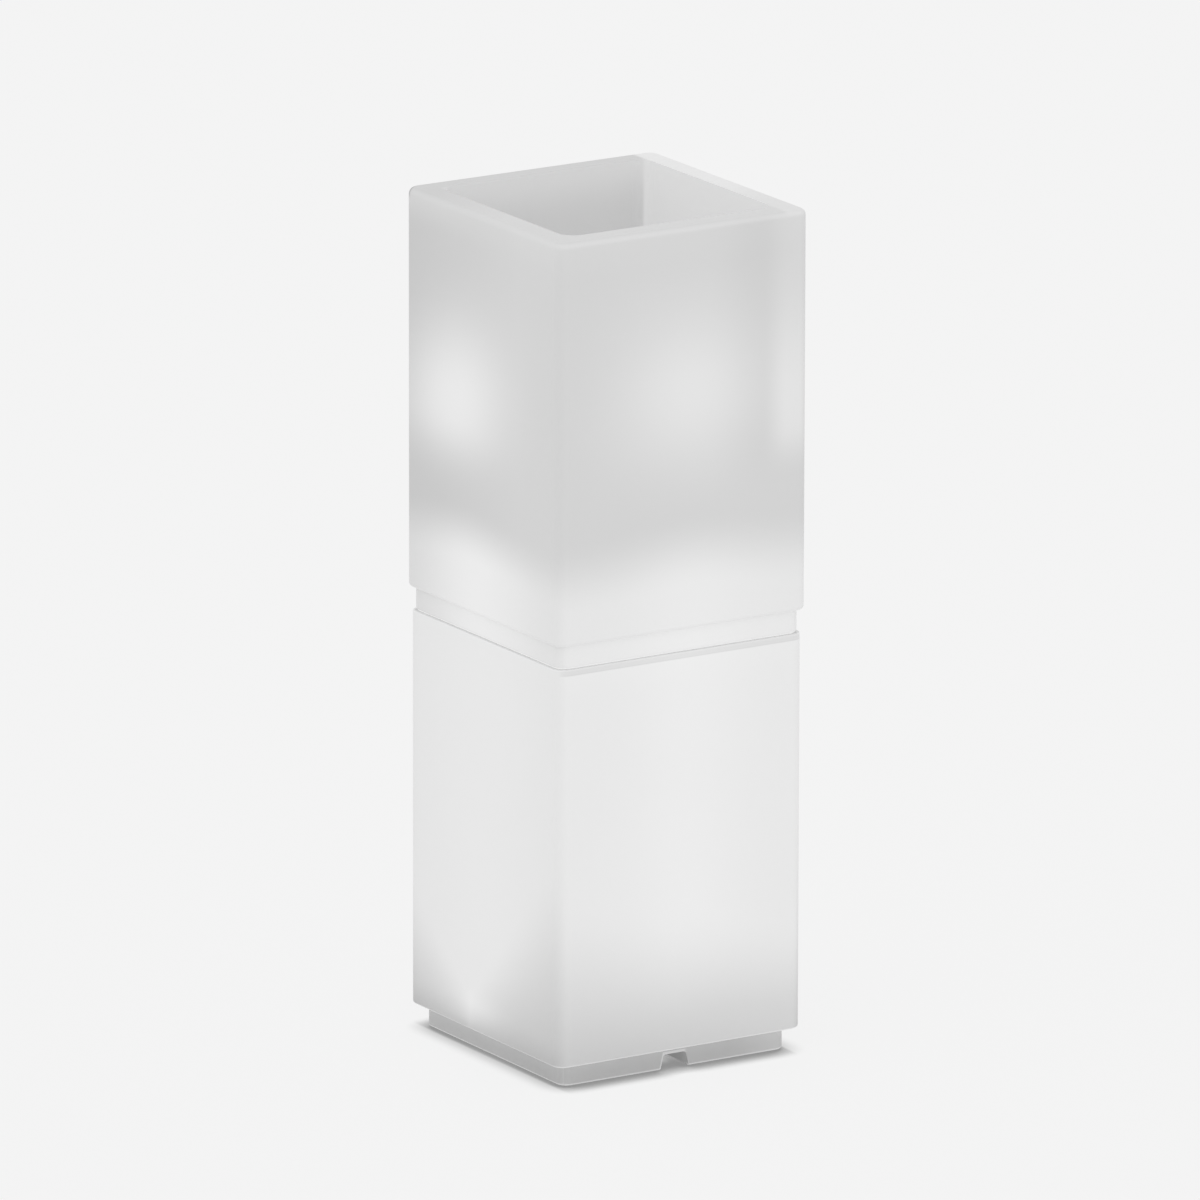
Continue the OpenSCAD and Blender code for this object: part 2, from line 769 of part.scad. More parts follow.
// Case with a stepped lid and a fixing ear at each end, along X
module gear_case(len_x, wide, high) {
    difference() {
        union() {
            translate([-len_x / 2, -wide / 2, 0]) cube([len_x, wide, high - lid_h]);
            translate([-len_x / 2 + lid_inset, -wide / 2 + lid_inset, 0])
                cube([len_x - 2 * lid_inset, wide - 2 * lid_inset, high]);
            translate([-len_x / 2 - ear, -wide / 4, 0]) cube([len_x + 2 * ear, wide / 2, ear_t]);
        }
        for (side = [-1, 1]) translate([side * (len_x + ear) / 2, 0, -eps])
            cylinder(h = ear_t + 2 * eps, r = pin_hole_r);
    }
}

module ballast() {
    color([0.8, 0.8, 0.8]) translate([ballast_place.x, ballast_place.y, deck_z])
        gear_case(ballast_x, ballast_y, ballast_h);
}

module led_driver() {
    color([0.3, 0.3, 0.32]) translate([driver_place.x, driver_place.y, deck_z]) rotate(90)
        gear_case(driver_y, driver_x, driver_h);
}

module gear_screws() {
    color([0.75, 0.75, 0.76]) at_spots(concat(ballast_spots(), driver_spots()))
        translate([0, 0, deck_z + ear_t]) pan_screw();
}

// Places of the terminal block's four ways
function way_x(k) = terminal_place.x + (k - 1.5) * terminal_pitch;

module terminal_block() {
    color([0.9, 0.9, 0.88]) difference() {
        translate([terminal_place.x - terminal_x / 2, terminal_place.y - terminal_y / 2, deck_z]) {
            cube([terminal_x, terminal_y, terminal_h - terminal_step]);
            translate([0, terminal_step, 0]) cube([terminal_x, terminal_y - 2 * terminal_step, terminal_h]);
        }
        for (k = [0 : 3]) translate([way_x(k), terminal_place.y, terminal_z]) {
            translate([0, terminal_y / 2 + eps, 0]) rotate([90, 0, 0])
                cylinder(h = terminal_y + 2 * eps, r = core_r + snug);
            translate([0, 0, terminal_seat]) cylinder(h = terminal_h, r = pin_r + snug);
        }
    }
}

module terminal_screws() {
    reach = pin_r + eps;
    color([0.7, 0.7, 0.7]) for (k = [0 : 3])
        translate([way_x(k), terminal_place.y, terminal_z + terminal_seat]) difference() {
            cylinder(h = terminal_screw_h, r = pin_r);
            translate([-reach, -slot_w / 2, terminal_screw_h - 1]) cube([2 * reach, slot_w, 2]);
        }
}

module mains_cores() {
    start_y = gland_front + well_t + locknut_t + 1;
    run_z = (platform_z + tray_z) / 2;
    end_y = terminal_place.y + terminal_y / 2 - grip_in_way;
    color([0.55, 0.3, 0.15]) for (side = [-1, 1]) {
        x = grommet_place.x + side * pair;
        y = grommet_place.y + side * pair;
        way = way_x(side < 0 ? 3 : 0);
        round_path([[side * pair, start_y, gland_z], [side * pair, y, gland_z],
            [side * pair, y, run_z], [x, y, run_z], [x, y, terminal_z], [way, y, terminal_z],
            [way, end_y, terminal_z]], core_r, core_bend);
    }
}

module ballast_cores() {
    start_y = terminal_place.y - terminal_y / 2 + grip_in_way;
    color([0.2, 0.35, 0.6]) for (k = [0, 3]) translate([way_x(k), start_y, terminal_z])
        rotate([90, 0, 0]) cylinder(h = start_y - ballast_back, r = core_r);
}

module lamp_cores() {
    color([0.85, 0.85, 0.8]) for (k = [-1.5 : 1 : 1.5])
        translate([k * contact_pitch, socket_front, lamp_core_z]) rotate([90, 0, 0])
            cylinder(h = socket_front - ballast_back, r = core_r);
}

// Two cores that cross the tray in the gap between ballast and socket
module driver_cores() {
    start_y = terminal_place.y - terminal_y / 2 + grip_in_way;
    gap_y = (socket_front + ballast_back) / 2;
    end_y = driver_place.y - driver_y / 2;
    color([0.2, 0.35, 0.6]) for (k = [0, 1]) {
        z = tray_core_z + tray_core_step * k;
        way = way_x(2 - k);
        end_x = driver_place.x + 2 * pair * (2 * k - 1);
        round_path([[way, start_y, terminal_z], [way, gap_y, terminal_z], [way, gap_y, z],
            [end_x, gap_y, z], [end_x, end_y, z]], core_r, core_bend - 0.5);
    }
}

// Low-voltage lead from the driver up the back of the spine
module feed_lead() {
    z = deck_z + 11;
    color([0.93, 0.93, 0.93]) round_path([[driver_place.x - driver_x / 2, plug_y, z],
        [0, plug_y, z], [0, plug_y, socket_low]], lead_r, lead_bend);
}

module lamp_socket() {
    wide = cap_w + 2 * (cap_gap + socket_wall);
    deep = cap_d + 2 * (cap_gap + socket_wall);
    color([0.92, 0.92, 0.9]) translate([0, lamp_y, deck_z]) difference() {
        union() {
            translate([-wide / 2, -deep / 2, 0]) cube([wide, deep, socket_h]);
            translate([-wide / 2 - ear, -deep / 4, 0]) cube([wide + 2 * ear, deep / 2, ear_t]);
        }
        translate([-cap_w / 2 - cap_gap, -cap_d / 2 - cap_gap, socket_h - cap_seat])
            cube([cap_w + 2 * cap_gap, cap_d + 2 * cap_gap, cap_seat + eps]);
        for (k = [-1.5 : 1 : 1.5]) translate([k * contact_pitch, 0, socket_h - cap_seat - contact_len - 1])
            cylinder(h = contact_len + 2, r = contact_r + contact_gap);
        for (side = [-1, 1]) translate([side * (cap_w / 2 + socket_wall + ear / 2), 0, -eps])
            cylinder(h = ear_t + 2 * eps, r = pin_hole_r);
    }
}

module socket_screws() {
    color([0.75, 0.75, 0.76]) at_spots(socket_spots()) translate([0, 0, deck_z + ear_t]) pan_screw();
}

module lamp_cap() {
    color([0.95, 0.95, 0.93]) translate([0, lamp_y, socket_floor]) difference() {
        union() {
            translate([-cap_w / 2, -cap_d / 2, 0]) cube([cap_w, cap_d, cap_h - cap_shoulder]);
            translate([-cap_w / 2 + cap_step, -cap_d / 2 + cap_step, 0])
                cube([cap_w - 2 * cap_step, cap_d - 2 * cap_step, cap_h]);
        }
        for (side = [-1, 1]) translate([side * tube_pitch / 2, 0, cap_h - tube_seat])
            cylinder(h = tube_seat + eps, r = tube_r + snug);
    }
}

module lamp_pins() {
    color([0.8, 0.66, 0.35]) for (k = [-1.5 : 1 : 1.5])
        translate([k * contact_pitch, lamp_y, socket_floor - contact_len])
            cylinder(h = contact_len, r = contact_r);
}

module lamp_tubes() {
    length = tube_len + tube_seat;
    color([0.97, 0.97, 0.95]) translate([0, lamp_y, cap_top - tube_seat]) union() {
        for (side = [-1, 1]) translate([side * tube_pitch / 2, 0, 0]) rotate_extrude() {
            square([tube_r, length - tube_r]);
            translate([0, length - tube_r]) intersection() {
                circle(r = tube_r);
                square(tube_r);
            }
        }
        translate([-tube_pitch / 2, 0, length - bridge_drop]) rotate([0, 90, 0])
            cylinder(h = tube_pitch, r = bridge_r);
    }
}

module lamp_clip() {
    grip_in = tube_r + clip_gap;
    grip_out = grip_in + clip_t;
    color([0.88, 0.88, 0.88]) translate([0, lamp_y, clip_z]) linear_extrude(clip_h) difference() {
        union() {
            for (side = [-1, 1]) translate([side * tube_pitch / 2, 0]) circle(r = grip_out);
            translate([-tube_pitch / 2, grip_in]) square([tube_pitch, spine_gap - grip_in]);
        }
        for (side = [-1, 1]) translate([side * tube_pitch / 2, 0]) {
            circle(r = grip_in);
            translate([-clip_mouth / 2, -grip_out - eps]) square([clip_mouth, grip_out]);
        }
    }
}

module lamp_spine() {
    color([0.9, 0.9, 0.9]) difference() {
        union() {
            translate([-spine_w / 2, spine_y, deck_z]) {
                cube([spine_w, sheet_t, spine_h]);
                for (x = [0, spine_w - sheet_t]) translate([x, 0, 0]) cube([sheet_t, spine_d, spine_h]);
                cube([spine_w, spine_foot, sheet_t]);
            }
            translate([-bracket_w / 2, spine_y, spine_top - sheet_t])
                cube([bracket_w, plug_y - spine_y + bracket_w / 2, sheet_t]);
        }
        at_spots(spine_spots()) translate([0, 0, deck_z - eps])
            cylinder(h = sheet_t + 2 * eps, r = pin_hole_r);
        translate([0, plug_y, spine_top - sheet_t - eps])
            cylinder(h = sheet_t + 2 * eps, r = plug_r + plug_gap + plug_wall + snug);
        for (k = [1 : spine_holes]) translate([0, spine_y - eps, deck_z + k * spine_step]) rotate([-90, 0, 0])
            cylinder(h = sheet_t + 2 * eps, r = spine_hole_r);
    }
}

module spine_screws() {
    color([0.75, 0.75, 0.76]) at_spots(spine_spots()) translate([0, 0, deck_z + sheet_t]) pan_screw();
}

module plug_socket() {
    r = plug_r + plug_gap;
    color([0.2, 0.2, 0.21]) translate([0, plug_y, 0]) difference() {
        union() {
            translate([0, 0, socket_low]) cylinder(h = plug_seat_z - socket_low, r = r + plug_wall);
            translate([0, 0, spine_top]) cylinder(h = plug_mouth, r = r + plug_wall + plug_collar);
        }
        translate([0, 0, plug_seat_z - plug_len - 1]) cylinder(h = plug_len + 2, r = r);
    }
}

module pot_plug() {
    color([0.18, 0.18, 0.19]) translate([0, plug_y, plug_seat_z]) difference() {
        rotate_extrude() polygon([[0, -plug_len], [plug_r - 0.5, -plug_len], [plug_r, 0.5 - plug_len],
            [plug_r, 0], [grip_r, 0], [grip_r, grip_len - 5], [lead_r + 2, grip_len], [0, grip_len]]);
        translate([0, 0, grip_len - lead_seat]) cylinder(h = lead_seat + eps, r = lead_r + snug);
    }
}

module lead_splice() {
    color([0.85, 0.85, 0.85]) translate([-splice_w / 2, plug_y - splice_w / 2, under_z - glue - splice_t])
        cube([splice_w, splice_w, splice_t]);
}

module pot_lead() {
    edge = splice_w / 2;
    start_z = plug_seat_z + grip_len - lead_seat;
    color([0.93, 0.93, 0.93]) {
        for (side = [-1, 1]) {
            round_path([[side * edge, plug_y, lead_z], [side * lead_x, plug_y, lead_z],
                [side * lead_x, plug_y, lead_top]], lead_r, lead_bend);
            round_path([[0, plug_y + side * edge, lead_z], [0, side * lead_x, lead_z],
                [0, side * lead_x, lead_top]], lead_r, lead_bend);
        }
        translate([0, plug_y, start_z]) cylinder(h = under_z - glue - splice_t - start_z, r = lead_r);
    }
}

module lead_clips() {
    block = [5 * lead_r, 6 * lead_r, 2 * (under_z - glue - lead_z)];
    spots = [[clip_place, plug_y, 90], [-clip_place, plug_y, 90], [0, -clip_place, 0]];
    color([0.9, 0.9, 0.9]) for (spot = spots)
        translate([spot.x, spot.y, lead_z]) rotate(spot[2]) difference() {
            cube(block, center = true);
            rotate([90, 0, 0]) cylinder(h = block.y + 2 * eps, r = lead_r + snug, center = true);
        }
}

// Puts what follows on the pot's leaning wall: +X out of the wall, its foot on the wall's face
module on_wall() {
    face = pot_core + pot_r(module_z) + wall;
    for (spot = [[face, plug_y, 0], [0, face, 90], [-face, plug_y, 180], [0, -face, 270]])
        translate([spot.x, spot.y, module_z]) rotate([0, atan(draft_rate), spot[2]])
            translate([glue, 0, 0]) children();
}

// Places of a module's lenses, in their pockets, with +Z out of the wall
module at_lenses() {
    for (k = [0 : lens_count - 1])
        translate([module_t - module_pocket, 0, (k - (lens_count - 1) / 2) * lens_pitch]) rotate([0, 90, 0])
            children();
}

module light_modules() {
    color([0.96, 0.96, 0.96]) on_wall() difference() {
        translate([0, -module_w / 2, -module_len / 2]) cube([module_t, module_w, module_len]);
        at_lenses() cylinder(h = module_pocket + eps, r = lens_r + snug);
    }
}

module module_lenses() {
    dome_r = (lens_r * lens_r + lens_h * lens_h) / (2 * lens_h);
    top = module_pocket + lens_h;
    color([0.98, 0.97, 0.9]) on_wall() at_lenses() rotate_extrude() {
        square([lens_r, module_pocket]);
        intersection() {
            square([lens_r, top]);
            translate([0, top - dome_r]) circle(r = dome_r);
        }
    }
}

upper_shell();
lower_shell();
neck_seal();
base_plate();
base_gasket();
base_inserts();
base_screws();
rubber_feet();
gland_body();
gland_seal();
gland_nut();
gland_locknut();
gear_tray();
tray_screws();
ballast();
led_driver();
gear_screws();
terminal_block();
terminal_screws();
mains_cores();
ballast_cores();
lamp_cores();
driver_cores();
feed_lead();
lamp_socket();
socket_screws();
lamp_cap();
lamp_pins();
lamp_tubes();
lamp_clip();
lamp_spine();
spine_screws();
plug_socket();
pot_plug();
pot_lead();
lead_splice();
lead_clips();
light_modules();
module_lenses();
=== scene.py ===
# Finish, light and camera for an illuminated square outdoor column with a planter on top.
# Everything is in metres in the part's own frame: +Z up, ground at z = 0, cable notch towards -Y.
# Levels of glow are shares of full white, added to what the unlit plastic gives back.
import json
import math

import bpy
from mathutils import Matrix, Vector


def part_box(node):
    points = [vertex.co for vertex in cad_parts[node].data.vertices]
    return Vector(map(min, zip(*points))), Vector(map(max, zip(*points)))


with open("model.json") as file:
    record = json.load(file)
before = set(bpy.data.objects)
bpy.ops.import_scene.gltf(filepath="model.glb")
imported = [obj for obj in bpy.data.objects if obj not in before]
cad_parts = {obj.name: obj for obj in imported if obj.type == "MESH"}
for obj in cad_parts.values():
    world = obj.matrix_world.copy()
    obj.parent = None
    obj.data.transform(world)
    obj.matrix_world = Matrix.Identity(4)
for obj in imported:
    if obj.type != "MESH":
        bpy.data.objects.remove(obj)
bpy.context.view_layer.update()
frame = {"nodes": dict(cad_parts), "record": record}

# The photograph's frame and how its camera stands, in degrees, metres and pixels
FRAME_PX = 1200
SENSOR_MM = 36
CAMERA_AZIMUTH = -31.85
CAMERA_ELEVATION = 14.89
CAMERA_ROLL = 0.12
CAMERA_DISTANCE = 16.11
CAMERA_FOCAL_PX = 17523
CAMERA_NEAR = 0.1
AIM_HEIGHT = 0.4193
AIM_SIDE = -0.0054

# Light: an even sky and one very soft sun
SKY_LEVEL = 1.0
SKY_GREY = 0.90
SUN_LEVEL = 0.35
SUN_ANGLE = 70
SUN_TILT = 38
SUN_TURN = -60

# Floor: its own grey, the level that the eye sees, and the shade close to the object
FLOOR_HALVES = (0.5, 4, 30, 150)
FLOOR_GREY = 0.90
FLOOR_SPECK = 0.002
FLOOR_SPECK_SCALE = 2.0
FLOOR_SEEN = 0.904
SEEN_SHARE = 0.92
SHADE_REACH = 0.024
SHADE_POWER = 1.4
SHADE_SAMPLES = 16
BESIDE_WIDTH = 0.005
BESIDE_DROP = 0.55
UNDER_LEVEL = 0.28

# Places on the part
POT_HALF = 0.135
POT_FLOOR = 0.555
RIM_INNER = 0.111
RIM_LOW = 0.790
NECK_TOP = 0.422
SEAM = 0.400
COLUMN_LOW = 0.0225
PLINTH_TOP = 0.0215
SKIRT_HALF = 0.117
PLINTH_HALF = 0.1215
NOTCH_TOP = 0.016
NOTCH_FOOT_HALF = 0.0158
NOTCH_SLOPE = 0.24

# Plain greys of the large pieces
SHELL_GREY = 0.60
SHELL_CLOUD = 0.016
PLINTH_GREY = 0.485
SEAL_GREY = 0.55

# Plain finishes: colour, roughness, size and height of the grain, then what isn't as usual
PLAIN_FINISHES = {
    "foot_rubber": ((0.035, 0.035, 0.036), 0.70, 0.0008, 0.00015, {"vary": 0.15}),
    "gland_plastic": ((0.045, 0.045, 0.05), 0.50, 0.0005, 0.00008, {"vary": 0.12}),
    "fixing_steel": ((0.62, 0.62, 0.64), 0.28, 0.0004, 0.00003, {"metal": 1.0, "stretch": (1, 1, 0.1)}),
    "contact_brass": ((0.72, 0.52, 0.22), 0.25, 0.0004, 0.00003, {"metal": 1.0}),
    "tray_metal": ((0.74, 0.74, 0.74), 0.36, 0.0010, 0.00006, {}),
    "gear_case": ((0.52, 0.52, 0.53), 0.34, 0.0008, 0.00004, {"vary": 0.1}),
    "driver_case": ((0.035, 0.036, 0.04), 0.45, 0.0006, 0.00008, {"vary": 0.12}),
    "white_plastic": ((0.74, 0.74, 0.72), 0.38, 0.0008, 0.00005, {"vary": 0.04}),
    "core_brown": ((0.12, 0.04, 0.015), 0.35, 0.0010, 0.00004, {}),
    "core_blue": ((0.02, 0.07, 0.30), 0.35, 0.0010, 0.00004, {}),
    "lead_white": ((0.76, 0.76, 0.75), 0.36, 0.0010, 0.00004, {}),
    "plug_black": ((0.03, 0.03, 0.032), 0.48, 0.0006, 0.00008, {"vary": 0.12}),
    "lens_plastic": ((0.85, 0.83, 0.74), 0.30, 0.0006, 0.00003, {"vary": 0.04}),
}


class Field:
    """A number that varies over a surface, held as a socket of a material's node tree."""

    def __init__(self, tree, socket):
        self.tree = tree
        self.socket = socket

    def math(self, operation, *others, clamp=False):
        node = self.tree.nodes.new("ShaderNodeMath")
        node.operation = operation
        node.use_clamp = clamp
        for slot, value in zip(node.inputs, (self, *others)):
            if isinstance(value, Field):
                self.tree.links.new(value.socket, slot)
            else:
                slot.default_value = value
        return Field(self.tree, node.outputs[0])

    def __add__(self, other):
        return self.math("ADD", other)

    def __sub__(self, other):
        return self.math("SUBTRACT", other)

    def __mul__(self, other):
        return self.math("MULTIPLY", other)

    def __truediv__(self, other):
        return self.math("DIVIDE", other)

    def size(self):
        return self.math("ABSOLUTE")

    def squared(self):
        return self * self

    def rest(self):
        """What is missing from 1."""
        return self * -1.0 + 1.0

    def positive(self):
        return self.math("MAXIMUM", 0.0)

    def eased(self):
        """Clamps to 0..1 and rounds both ends off."""
        t = self.math("ADD", 0.0, clamp=True)
        return t * t * (t * -2.0 + 3.0)

    def rise(self, low, high):
        """0 below low, 1 above high, eased between."""
        return ((self - low) * (1.0 / (high - low))).eased()

    def fall(self, low, high):
        """1 below low, 0 above high, eased between."""
        return self.rise(high, low)

    def bell(self, centre, width):
        """1 at the centre, falling to 1/e at width on each side."""
        t = (self - centre) * (1.0 / width)
        return (t * t * -1.0).math("EXPONENT")


class Surface:
    """One material under construction: its tree, its shader and the coordinates of the surface."""

    def __init__(self, name):
        self.material = bpy.data.materials.new(name)
        self.material.use_nodes = True
        self.tree = self.material.node_tree
        self.shader = self.tree.nodes["Principled BSDF"]
        self.coords = self.tree.nodes.new("ShaderNodeTexCoord")

    def xyz(self, output="Object"):
        split = self.tree.nodes.new("ShaderNodeSeparateXYZ")
        self.tree.links.new(self.coords.outputs[output], split.inputs[0])
        return [Field(self.tree, split.outputs[k]) for k in range(3)]

    def noise(self, scale, detail=3.0, stretch=(1, 1, 1)):
        place = self.tree.nodes.new("ShaderNodeMapping")
        place.inputs["Scale"].default_value = stretch
        self.tree.links.new(self.coords.outputs["Object"], place.inputs["Vector"])
        node = self.tree.nodes.new("ShaderNodeTexNoise")
        node.inputs["Scale"].default_value = scale
        node.inputs["Detail"].default_value = detail
        self.tree.links.new(place.outputs[0], node.inputs["Vector"])
        return Field(self.tree, node.outputs["Fac"])

    def grey(self, field, tint=(1.0, 1.0, 1.0)):
        """A colour socket from one number, times a tint."""
        node = self.tree.nodes.new("ShaderNodeCombineColor")
        for slot, share in zip(node.inputs, tint):
            self.tree.links.new((field * share).socket, slot)
        return node.outputs[0]

    def colour(self, field, tint=(1.0, 1.0, 1.0)):
        self.tree.links.new(self.grey(field, tint), self.shader.inputs["Base Color"])

    def glow(self, field):
        self.tree.links.new(self.grey(field), self.shader.inputs["Emission Color"])
        self.shader.inputs["Emission Strength"].default_value = 1.0

    def roughness(self, field):
        self.tree.links.new(field.socket, self.shader.inputs["Roughness"])

    def bump(self, field, height, strength):
        """Relief of the given height in metres."""
        node = self.tree.nodes.new("ShaderNodeBump")
        node.inputs["Strength"].default_value = strength
        node.inputs["Distance"].default_value = height
        self.tree.links.new(field.socket, node.inputs["Height"])
        self.tree.links.new(node.outputs[0], self.shader.inputs["Normal"])

    def set(self, **values):
        for name, value in values.items():
            self.shader.inputs[name.replace("_", " ")].default_value = value


def pot_side_glow(x, z):
    """Light on the pot housing's front and back: a broad patch, a lit corner channel, a bright foot."""
    base_level = 0.081
    patch_level = 0.144
    channel_level = 0.019
    channel_peak = 0.082
    shade_level = 0.034
    foot_level = 0.141
    foot_middle = 0.038
    foot_lift = 0.012
    lid_level = 0.0195
    patch = x.bell(0.014, 0.087) * z.bell(0.631, 0.092) * z.rise(0.466, 0.677) * patch_level
    channel_along = z.bell(0.624, 0.097) * channel_peak + channel_level
    channel = x.rise(0.083, 0.111) * channel_along * z.rise(0.55, 0.60)
    shade = x.bell(0.079, 0.038) * z.rise(0.53, 0.60) * shade_level
    middle = x.bell(0.010, 0.070)
    foot = (z - middle * foot_lift).fall(0.448, 0.521) * (middle * foot_middle + foot_level)
    lid = z.rise(0.76, 0.80) * lid_level
    return patch + channel - shade + foot + lid + base_level


def pot_end_glow(y, z):
    """Light on the pot housing's left and right: a tighter leaning patch off the middle, a bright foot."""
    base_level = 0.0656
    patch_y = 0.0493
    patch_z = 0.6185
    patch_half_width = 0.0854
    patch_half_height = 0.0737
    patch_lean = 0.155
    patch_power = 1.10
    patch_level = 0.214
    fade_from = -0.0655
    fade_rate = 0.407
    foot_level = 0.091
    foot_middle = 0.126
    foot_lift = 0.0114
    lid_level = 0.020
    lid_far = 0.054
    top_level = 0.005
    across = (y - patch_y) * (1 / patch_half_width)
    upward = (z + (y - patch_y) * patch_lean - patch_z) * (1 / patch_half_height)
    reach = (across.squared() + upward.squared()).math("POWER", patch_power)
    patch = (reach * -1.0).math("EXPONENT") * z.rise(0.5185, 0.5995) * patch_level
    outer = (y - fade_from).positive() * fade_rate
    middle = y.bell(0.0188, 0.0894)
    foot = (z - middle * foot_lift).fall(0.4563, 0.5119) * (middle * foot_middle + foot_level)
    lid = z.rise(0.765, 0.800) * (y.rise(-0.05, 0.13) * lid_far + lid_level)
    top = z.rise(0.745, 0.785) * top_level
    return patch - outer + foot + lid + base_level + top


def column_fade(half_height, low, z):
    """Share of the full light above a lower edge that darkens towards the plinth."""
    return ((z - low) / (half_height * 2.0 - 2.0 * low)).eased()


def column_side_glow(x, z):
    """Light on the column's front and back: a soft fade towards the plinth, least at the left."""
    fade_low = -0.0187
    half_middle = 0.0683
    half_left = 0.0146
    half_right = 0.0124
    full_level = 0.244
    full_middle = 0.0346
    top_level = 0.010
    foot_level = 0.030
    foot_left_drop = 0.038
    base_drop = 0.002
    half = (x * -1.0).rise(0.0, POT_HALF) * half_left - x.rise(0.0, POT_HALF) * half_right + half_middle
    full = x.bell(0.0065, 0.0607) * full_middle + full_level
    top = z.rise(0.36, 0.40) * top_level
    foot = z.fall(0.020, 0.060) * ((x.rise(-0.12, 0.12) - 1.0) * foot_left_drop + foot_level)
    return column_fade(half, fade_low, z) * full + top + foot - base_drop


def column_end_glow(y, z):
    """Light on the column's left and right: a wide arch that comes down to the plinth."""
    fade_low = -0.017
    arch_y = 0.0225
    half_middle = 0.0206
    half_far_rate = 0.417
    half_near_rate = 0.574
    full_level = 0.241
    full_middle = 0.033
    far_edge_drop = 0.035
    foot_drop = 0.066
    spot_level = 0.045
    shaded_level = 0.010
    shaded_middle = 0.05
    base_drop = 0.053
    off = y - arch_y
    half = off.positive() * half_far_rate + (off * -1.0).positive() * half_near_rate + half_middle
    full = y.bell(0.0, 0.103) * full_middle + full_level
    far_edge = y.rise(0.108, 0.140) * far_edge_drop
    foot = z.fall(0.020, 0.0515) * foot_drop
    spot = y.bell(0.0, 0.032) * z.bell(0.046, 0.013) * spot_level
    shaded = z.fall(0.022, 0.036) * (y.bell(0.030, 0.025) * shaded_middle + shaded_level)
    return column_fade(half, fade_low, z) * full - far_edge - foot + spot - shaded - base_drop


def rim_glow(x, y, ny, nz):
    """Light in the pot's rim: strongest on the lit right side, least at the back and far left."""
    flat_level = 0.058
    right_level = 0.055
    right_far = 0.06
    back_drop = 0.045
    left_drop = 0.055
    bend_level = 0.07
    bend_side = 0.27
    on_right = x.rise(RIM_INNER - 0.004, RIM_INNER + 0.002)
    at_back = y.rise(RIM_INNER - 0.002, RIM_INNER + 0.002) * on_right.rest()
    on_left = (x * -1.0).rise(RIM_INNER - 0.004, RIM_INNER + 0.002) * at_back.rest()
    flat = on_right * (y.rise(-0.10, 0.0) * right_far + right_level) - at_back * back_drop + flat_level
    flat = flat - on_left * y.rise(-0.04, 0.12) * left_drop
    bend = nz.squared() * nz.rest() * (ny.squared() * bend_side + bend_level)
    return nz.squared() * flat + bend


def pot_inside_glow(nx, ny, nz, z):
    """Light on the pot's inner walls and floor: the right wall most, the back wall fading downwards."""
    back_level = 0.11
    back_top = 0.06
    right_level = 0.22
    floor_level = 0.20
    turned = (nx.squared() - ny.squared()).rise(-0.25, 0.25)
    level = nz.squared()
    on_back = turned.rest() * (z.rise(0.755, 0.80) * back_top + back_level)
    on_right = turned * right_level
    return (on_back + on_right) * level.rest() + level * floor_level


def seam_shade_band(ny, z):
    """Painted shade: a darker band, with a line at its foot, that the photographed front shows under the
    parting line.
    """
    band_level = 0.095
    line_level = 0.035
    line_z = SEAM - 0.0055
    line_half = 0.0006
    line = (z - line_z).bell(0.0, line_half) * line_level
    band = z.rise(SEAM - 0.0062, SEAM - 0.0052) * band_level
    return (ny * -1.0).rise(0.5, 0.9) * (band + line)


def wall_glow(x, y, z, nx, ny):
    """Light in the outer walls of both shells: sides by their share of +-Y, ends by their share of +-X."""
    pot_corner_drop = 0.09
    column_corner_drop = 0.07
    upright_corner_drop = 0.06
    neck_level = 0.022
    upper = z.rise(SEAM + 0.0005, SEAM + 0.0014)
    lower = upper.rest()
    # Painted shade: less light at the far back corner and where the walls turn at the upright corners
    far_corner = y.rise(0.05, POT_HALF) * (x * -1.0).rise(0.05, POT_HALF)
    neck = upper * z.fall(NECK_TOP - 0.001, NECK_TOP + 0.001) * neck_level
    pot_side = pot_side_glow(x, z) - far_corner * pot_corner_drop + neck
    column_side = column_side_glow(x, z) - far_corner * column_corner_drop - seam_shade_band(ny, z)
    side = pot_side * upper + column_side * lower
    end = pot_end_glow(y, z) * upper + column_end_glow(y, z) * lower
    on_side = ny.squared()
    on_end = nx.squared()
    return side * on_side + end * on_end - on_side * on_end * upright_corner_drop


def edge_glow(z, nz):
    """Light on the column's ledge and on the lower edges of column and pot housing."""
    ledge_level = 0.12
    column_below = 0.36
    housing_below = 0.22
    line_level = 0.020
    below_seam = z.rise(SEAM + 0.0005, SEAM + 0.0014).rest()
    ledge = below_seam * z.rise(SEAM - 0.003, SEAM - 0.001) * nz.positive() * ledge_level
    under_column = z.fall(0.030, 0.032) * column_below
    under_housing = z.rise(NECK_TOP - 0.003, NECK_TOP) * housing_below
    below = (nz * -1.0).positive().squared() * (under_column + under_housing)
    line = z.fall(COLUMN_LOW + 0.0012, COLUMN_LOW + 0.0026) * line_level
    return ledge + below + line


